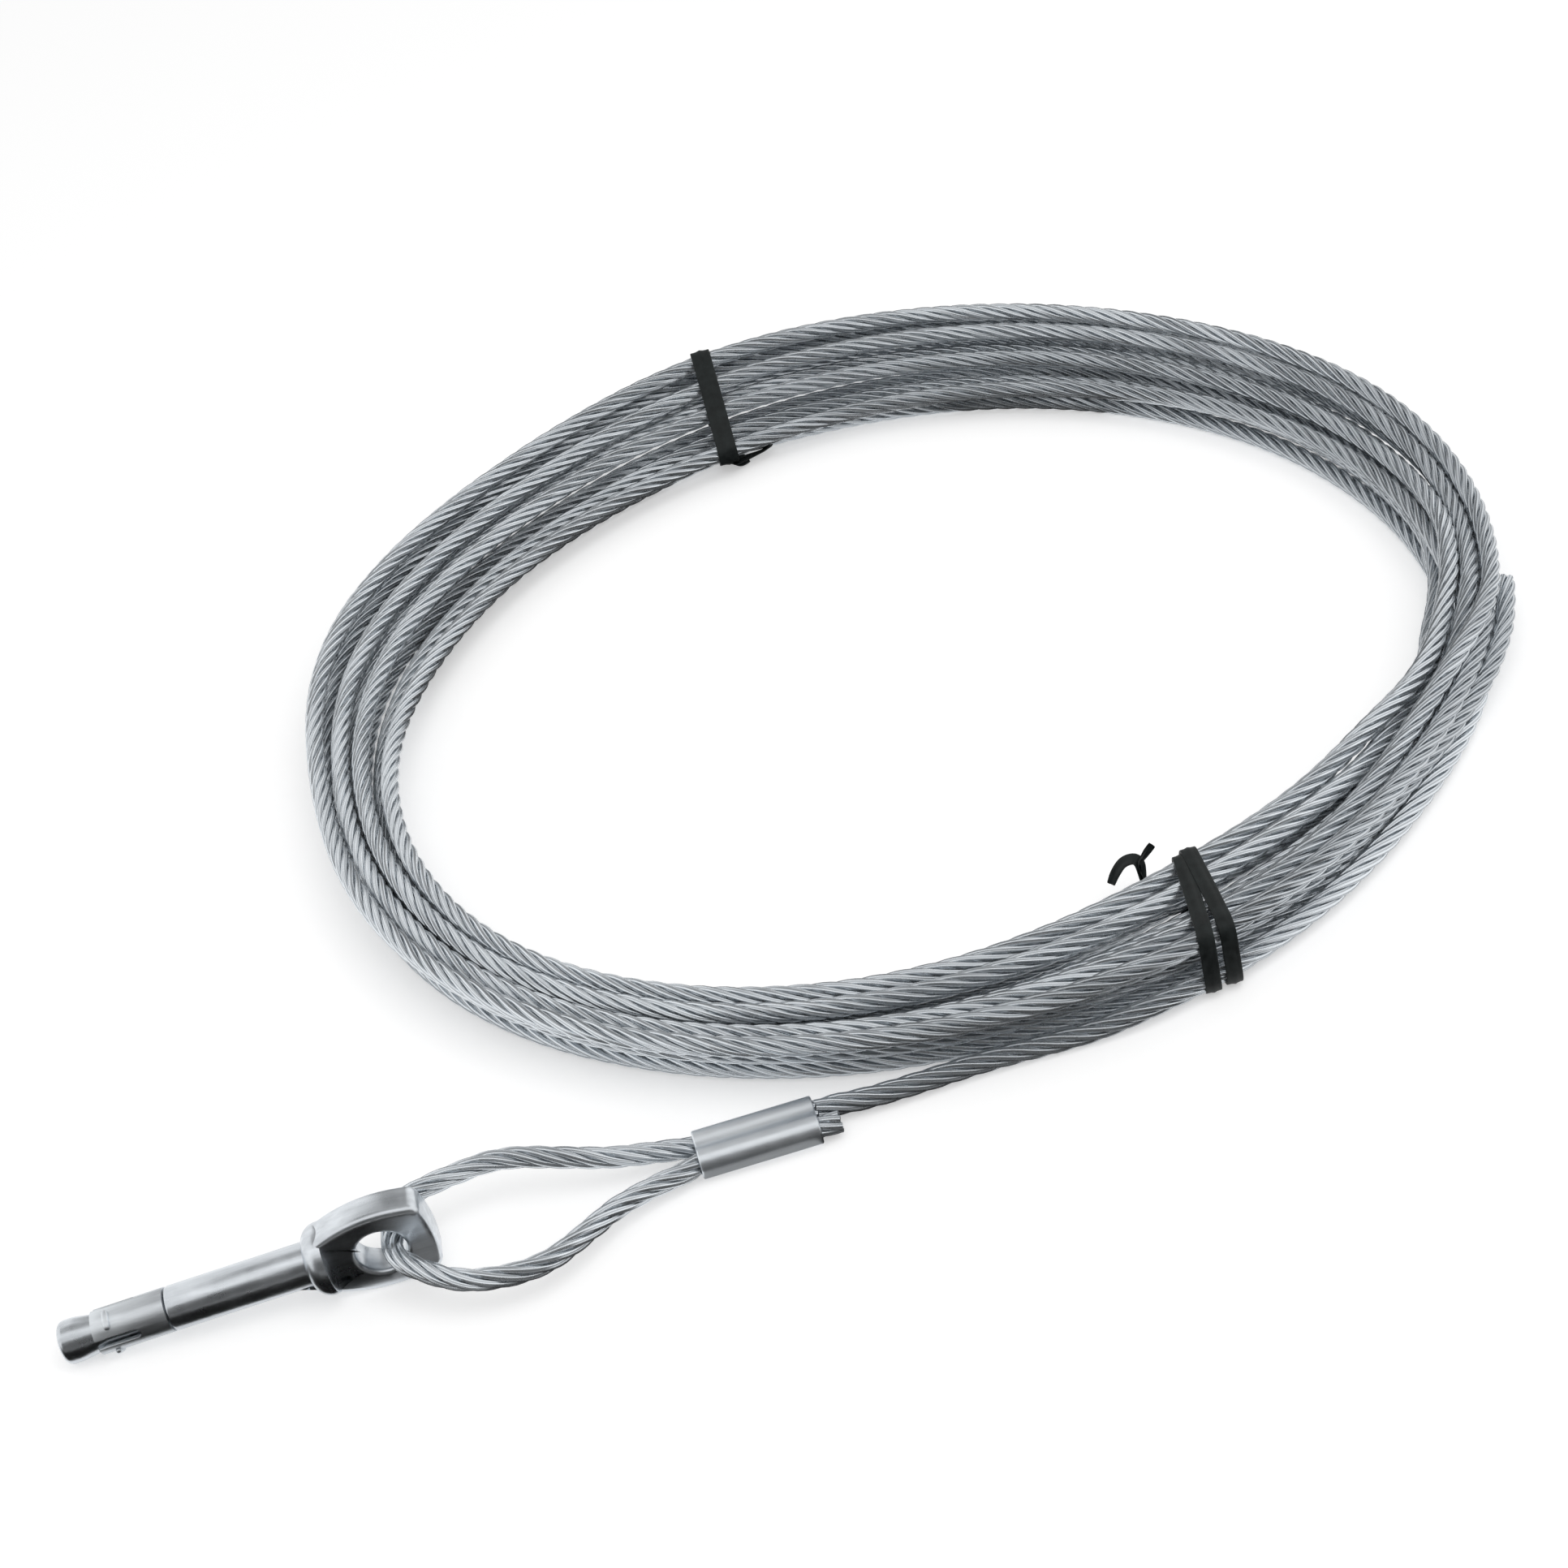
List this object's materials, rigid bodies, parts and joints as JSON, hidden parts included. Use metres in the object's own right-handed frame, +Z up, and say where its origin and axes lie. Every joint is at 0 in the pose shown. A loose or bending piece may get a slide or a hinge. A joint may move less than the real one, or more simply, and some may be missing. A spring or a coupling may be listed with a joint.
{
  "type": "wire-rope hanger",
  "caption": "Wedge expansion anchor with a forged eye, linked through a soft wire-rope loop with a crimped ferrule to a tied coil of rope.",
  "frame": {"origin": "on the surface that the part lies on, under the middle of the box round the anchor, clip, ferrule and loop", "axes": "+X from the anchor's cone through the loop and ferrule to the lead, +Y across the eye towards the coil, +Z up"},
  "size_m": [0.2386, 0.2183, 0.0178],
  "materials": {
    "anchor_steel": "bright zinc plating",
    "clip_steel": "bright zinc plating",
    "ferrule_metal": "smooth, pressed",
    "rope_wire": "galvanised wire",
    "tie_plastic": "matte black"
  },
  "bodies": {
    "rope": {"rope_loop": "rope_wire", "ferrule": "ferrule_metal", "rope_lead": "rope_wire", "rope_coil": "rope_wire", "rope_free_end": "rope_wire", "front_tie": "tie_plastic", "back_tie": "tie_plastic"},
    "anchor": {"anchor_bolt": "anchor_steel"},
    "clip": {"expansion_clip": "clip_steel"}
  },
  "joints": [
    {"name": "eye_swing", "type": "hinge", "parent": "rope", "child": "anchor", "pos_m": [-0.00775, 0.0012, 0.00693], "axis": [0, 1, 0], "range_deg": [-158, 181]},
    {"name": "clip_turn", "type": "hinge", "parent": "anchor", "child": "clip", "pos_m": [-0.00775, 0.0012, 0.00693], "axis": [0.9967, 0, 0.0806], "continuous": true}
  ]
}
